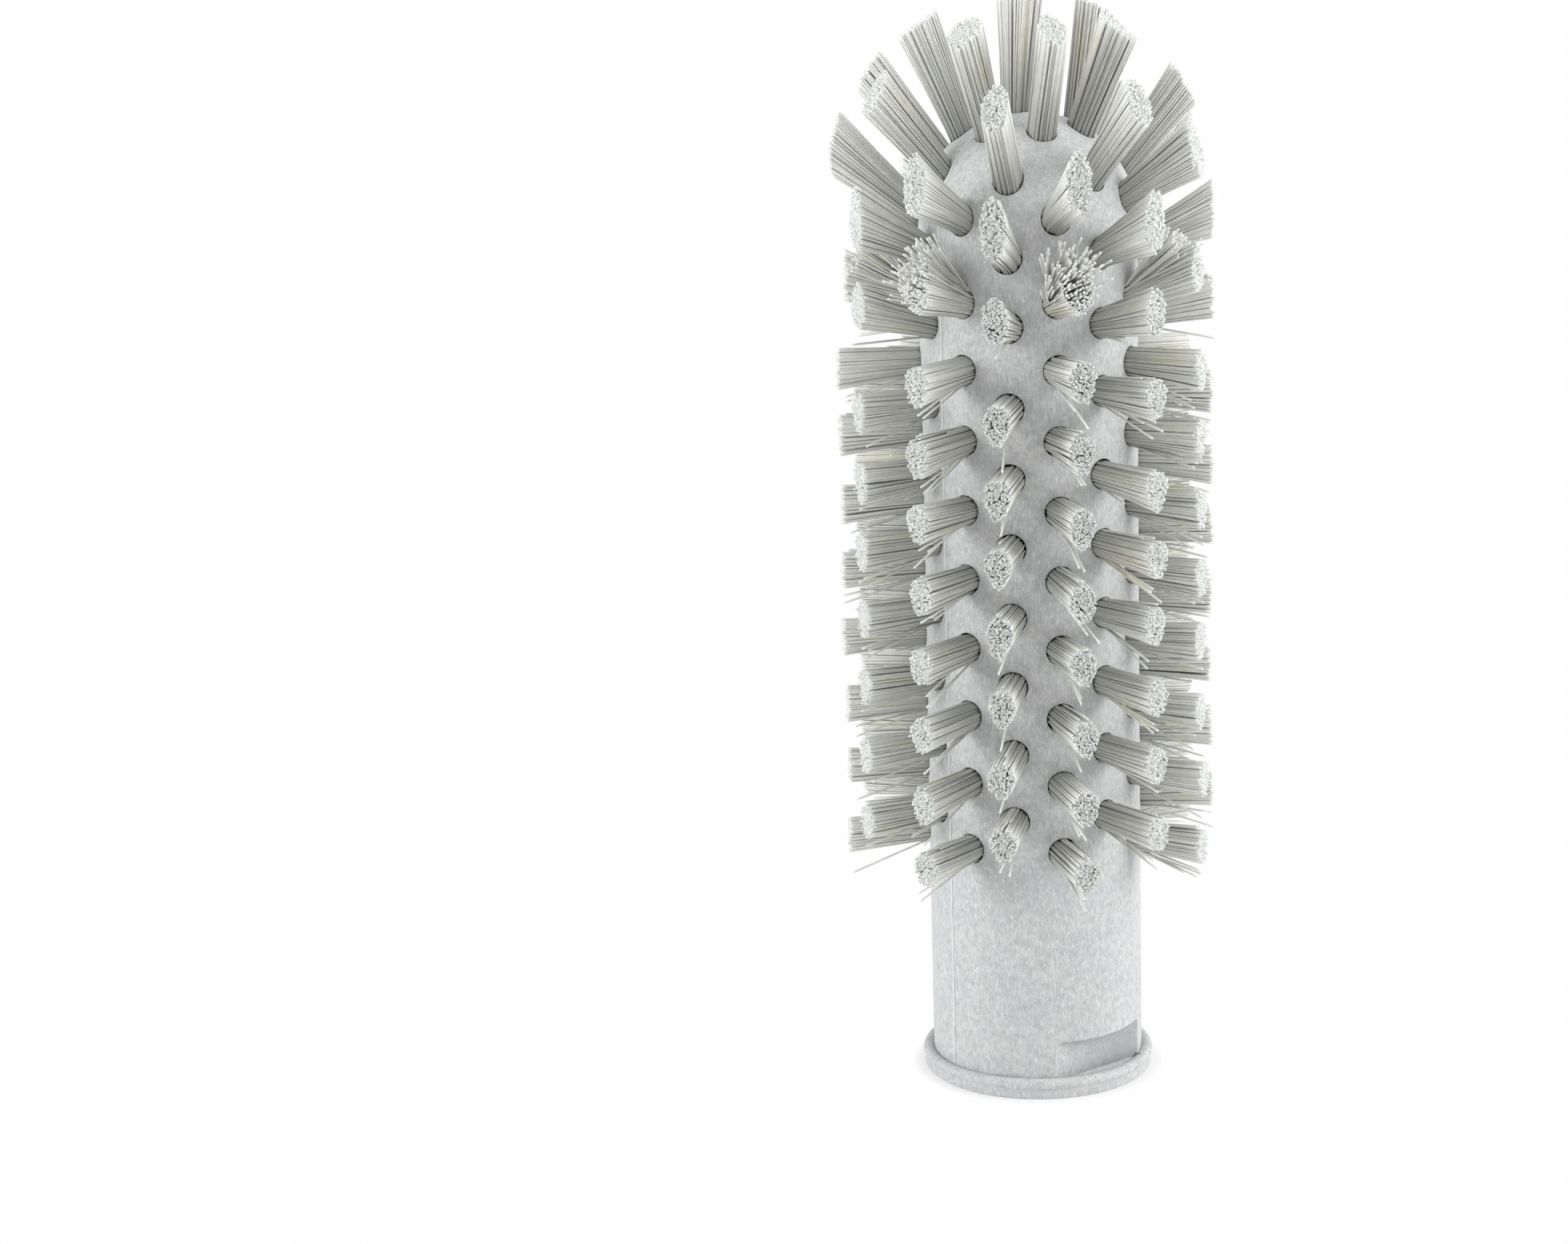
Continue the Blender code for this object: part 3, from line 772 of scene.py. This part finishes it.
# %% Turn centre lines into a mesh
SWELL = np.array([1, 1, 1, 1, 1.15])  # the blade has crushed the cut end
WIDENING = np.array([0, 0, 0.6, 1, 1])  # the share of the widening at each ring
BARE_ALONG = 0.6  # a filament that stands clear is lit, so it gets none of the painted shade near the hole
WALL_FROM, WALL_SPAN, WALL_V = 0.07, 0.86, np.array([0.04, 0.16, 0.4, 0.66, 0.78])  # places in a cell
CAP_R, CAP_U, CAP_V = 0.08, (0.25, 0.7), 0.89


def tube_points(lines, wider):
    """The points of all tubes, shape (filaments, rings, sides, 3)."""
    count = len(lines)
    direction = lines[:, -1] - lines[:, 0]
    direction /= np.linalg.norm(direction, axis=1)[:, None]
    helper = np.where(np.abs(direction[:, 2:]) < 0.8, [[0.0, 0.0, 1.0]], [[1.0, 0.0, 0.0]])
    first = np.cross(direction, helper)
    first /= np.linalg.norm(first, axis=1)[:, None]
    second = np.cross(direction, first)
    angles = rng.uniform(0, math.tau, count)[:, None] + np.arange(SIDES) * math.tau / SIDES
    radius = FILAMENT_D / 2 * rng.uniform(0.96, 1.08, count)
    around = np.cos(angles)[..., None] * first[:, None] + np.sin(angles)[..., None] * second[:, None]
    around *= radius[:, None, None]
    swell = SWELL + wider[:, None] * WIDENING
    return lines[:, :, None] + around[:, None] * swell[:, :, None, None]


def cell_places(ring_of, side_of):
    """The UV places of a filament's corners in its cell: its wall's, then its two caps'."""
    u_side = np.arange(SIDES + 1) / SIDES * WALL_SPAN + WALL_FROM
    wall_u = np.stack([u_side[side_of], u_side[side_of + 1], u_side[side_of + 1], u_side[side_of]], 1)
    wall_v = np.stack([WALL_V[ring_of], WALL_V[ring_of], WALL_V[ring_of + 1], WALL_V[ring_of + 1]], 1)
    angles = np.arange(SIDES) * math.tau / SIDES
    cap_u, cap_v = CAP_R * np.cos(angles), CAP_R * np.sin(angles)
    cell_u = np.concatenate([wall_u.ravel(), (CAP_U[0] + cap_u)[::-1], CAP_U[1] + cap_u])
    cell_v = np.concatenate([wall_v.ravel(), (CAP_V + cap_v)[::-1], CAP_V + cap_v])
    return cell_u, cell_v


def tube_mesh(name, lines, tone, bare, wider):
    """A mesh of five-sided tubes along centre lines, with their numbers, UV cells and two materials."""
    count = len(lines)
    verts = (tube_points(lines, wider).reshape(-1, 3) * MM).astype(np.float32)

    ring_of, side_of = np.meshgrid(np.arange(RINGS - 1), np.arange(SIDES), indexing="ij")
    ring_of, side_of = ring_of.ravel(), side_of.ravel()
    here, after = ring_of * SIDES, (side_of + 1) % SIDES
    quads = np.stack([here + side_of, here + after, here + SIDES + after, here + SIDES + side_of], 1)
    caps = [np.arange(SIDES)[::-1], (RINGS - 1) * SIDES + np.arange(SIDES)]
    pattern = np.concatenate([quads.ravel(), *caps])
    corners = (pattern + np.arange(count)[:, None] * RINGS * SIDES).ravel().astype(np.int32)
    sizes = np.concatenate([np.full(len(quads), 4), [SIDES, SIDES]])
    starts = np.concatenate([[0], np.cumsum(sizes)[:-1]])
    loop_starts = (starts + np.arange(count)[:, None] * len(pattern)).ravel().astype(np.int32)

    mesh = bpy.data.meshes.new(name)
    mesh.vertices.add(len(verts))
    mesh.vertices.foreach_set("co", verts.ravel())
    mesh.loops.add(len(corners))
    mesh.loops.foreach_set("vertex_index", corners)
    mesh.polygons.add(len(loop_starts))
    mesh.polygons.foreach_set("loop_start", loop_starts)
    smooth = np.tile(np.concatenate([np.ones(len(quads), bool), [False, False]]), count)
    mesh.polygons.foreach_set("use_smooth", smooth)
    slots = np.tile(np.concatenate([np.zeros(len(quads), int), [0, 1]]), count).astype(np.int32)
    mesh.polygons.foreach_set("material_index", slots)
    mesh.update(calc_edges=True)

    along = np.maximum(np.array(ALONG), bare[:, None] * BARE_ALONG)
    numbers = {"tone": np.repeat(tone, RINGS * SIDES), "along": np.repeat(along.ravel(), SIDES)}
    for label, values in numbers.items():
        mesh.attributes.new(label, "FLOAT", "POINT").data.foreach_set("value", values.astype(np.float32))

    cell_u, cell_v = cell_places(ring_of, side_of)
    cells = math.ceil(math.sqrt(count))
    index = np.arange(count)[:, None]
    places = np.stack([(index % cells + cell_u) / cells, (index // cells + cell_v) / cells], -1)
    mesh.uv_layers.new(name="OFBake").data.foreach_set("uv", places.astype(np.float32).ravel())
    for material in (FILAMENT, CUT_END):
        mesh.materials.append(material)
    return mesh


pieces = {}
for tuft in tufts:
    pieces.setdefault(tuft["piece"], []).append(grow(tuft))
total = 0
for piece, grown in pieces.items():
    mesh = tube_mesh(piece, *[np.concatenate(arrays) for arrays in zip(*grown)])
    obj = link(piece, mesh)
    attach(obj, "root")
    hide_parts(piece.replace("filaments", "tufts").replace("crown_tufts", "crown_tuft"))
    total += len(mesh.vertices) // (RINGS * SIDES)
print(len(pieces), "pieces with", total, "filaments")

# %% [markdown]
# ## Studio
#
# The brush stands on a white sweep between two large, soft lamps, with a third overhead. A white room all
# round would flatten a pale object, so the room's light comes mostly from the left and the right and little
# from the front, which leaves the middle of the barrel a shade darker than its sides. The camera and the
# rays of reflections see the room and the floor as nearly pure white instead, and the floor keeps only the
# shade close to the foot. All other rays find a plain pale floor that lightens the brush from below.

# %% Floor, light and backdrop
SHADE_START, SHADE_END = 19.0 * MM, 21.2 * MM  # where the shade round the foot starts to fade, and is gone
LAMP_AIM = Vector((0, 0, 0.09))
LAMPS = {  # place, width and power
    "key": ((-0.92, -0.42, 0.42), 0.7, 5.4),
    "fill": ((0.98, -0.2, 0.5), 0.7, 6.5),
    "top": ((0.15, 0.0, 1.1), 0.9, 3.9),
}


def seen_straight(tree):
    """1 for the rays of the camera, of a reflection and of glass, which see the backdrop as it is."""
    paths = node(tree, "ShaderNodeLightPath").outputs
    direct = paths["Is Camera Ray"]
    for kind in ("Is Glossy Ray", "Is Transmission Ray"):
        direct = node(tree, "ShaderNodeMath", {0: direct, 1: paths[kind]}, operation="MAXIMUM").outputs[0]
    return direct


def white_floor():
    """Paper that glows white for whoever looks at it, but for half its shade close to the foot."""
    material, tree, output = new_material("white_floor")
    place = node(tree, "ShaderNodeTexCoord").outputs["Object"]
    away = node(tree, "ShaderNodeVectorMath", {0: place}, operation="LENGTH").outputs["Value"]
    fade = {0: away, 1: SHADE_START, 2: SHADE_END, 3: 0.5, 4: 1.0}
    clean = node(tree, "ShaderNodeMapRange", fade).outputs[0]
    share = node(tree, "ShaderNodeMath", {0: seen_straight(tree), 1: clean}, operation="MULTIPLY").outputs[0]
    paper = node(tree, "ShaderNodeBsdfDiffuse", {"Color": linear("F2F2F2")}).outputs[0]
    glow = node(tree, "ShaderNodeEmission", {"Color": linear("FEFEFE"), "Strength": 1.0}).outputs[0]
    mix = node(tree, "ShaderNodeMixShader", {0: share, 1: paper, 2: glow})
    tree.links.new(mix.outputs[0], output.inputs[0])
    return material


def make_floor():
    """A sheet of the paper, four metres to each side."""
    mesh = bpy.data.meshes.new("floor")
    grid = bmesh.new()
    bmesh.ops.create_grid(grid, x_segments=8, y_segments=8, size=4)
    grid.to_mesh(mesh)
    mesh.materials.append(white_floor())
    link("floor", mesh)


def make_world():
    """A room that is white to look at and lights the brush mostly from its sides."""
    world = bpy.data.worlds.new("studio")
    bpy.context.scene.world = world
    world.use_nodes = True
    tree = world.node_tree
    tree.nodes.clear()
    toward = node(tree, "ShaderNodeTexCoord").outputs["Generated"]
    across = node(tree, "ShaderNodeSeparateXYZ", {0: toward}).outputs["X"]
    aside = node(tree, "ShaderNodeMath", {0: across}, operation="ABSOLUTE").outputs[0]
    room = node(tree, "ShaderNodeMapRange", {0: aside, 1: 0.1, 2: 0.9, 3: 0.08, 4: 0.87}).outputs[0]
    strength = node(tree, "ShaderNodeMapRange", {0: seen_straight(tree), 3: room, 4: 1.0}).outputs[0]
    sky = node(tree, "ShaderNodeBackground", {"Color": linear("FEFEFE"), "Strength": strength})
    tree.links.new(sky.outputs[0], node(tree, "ShaderNodeOutputWorld").inputs[0])


def softbox(name, place, size, power):
    """A round, soft lamp that faces the middle of the brush."""
    light = bpy.data.lights.new(name, "AREA")
    light.shape, light.size, light.energy = "DISK", size, power
    lamp = link(name, light)
    lamp.location = place
    lamp.rotation_euler = (LAMP_AIM - Vector(place)).to_track_quat("-Z", "Y").to_euler()


make_floor()
make_world()
for name, (place, size, power) in LAMPS.items():
    softbox(name, place, size, power)
print("studio ready with", len(LAMPS), "lamps")

# %% [markdown]
# ## Camera
#
# The camera stands a little under half a metre away and looks slightly down. A camera aimed by hand never
# quite lines up, so its place, turn and lens were found by fitting the drilled rows, the edges of the block
# and its foot to their places in the picture. It has no shift.

# %% Camera
PICTURE_W, SENSOR_W = 2156, 36
YAW, PITCH_DOWN, ROLL, FOCAL_PX = -0.08698, 0.21437, -0.03160, 4004.03
CAMERA_PLACE = 0, -0.4693, 0.17892
camera_data = bpy.data.cameras.new("camera")
camera_data.sensor_width = SENSOR_W
camera_data.sensor_fit = "HORIZONTAL"
camera_data.lens = FOCAL_PX / PICTURE_W * SENSOR_W
camera_data.clip_start, camera_data.clip_end = 0.01, 20
camera = link("camera", camera_data)
forward = math.cos(PITCH_DOWN)
ahead = Vector((math.sin(YAW) * forward, math.cos(YAW) * forward, -math.sin(PITCH_DOWN)))
level = Vector((math.cos(YAW), -math.sin(YAW), 0))
above = level.cross(ahead)
right = level * math.cos(ROLL) + above * math.sin(ROLL)
top = above * math.cos(ROLL) - level * math.sin(ROLL)
turn = Matrix((right, top, -ahead)).transposed().to_4x4()
camera.matrix_world = Matrix.Translation(CAMERA_PLACE) @ turn
bpy.context.scene.camera = camera
bpy.context.scene.view_settings.view_transform = "Standard"
print("lens", round(camera_data.lens, 2), "mm")
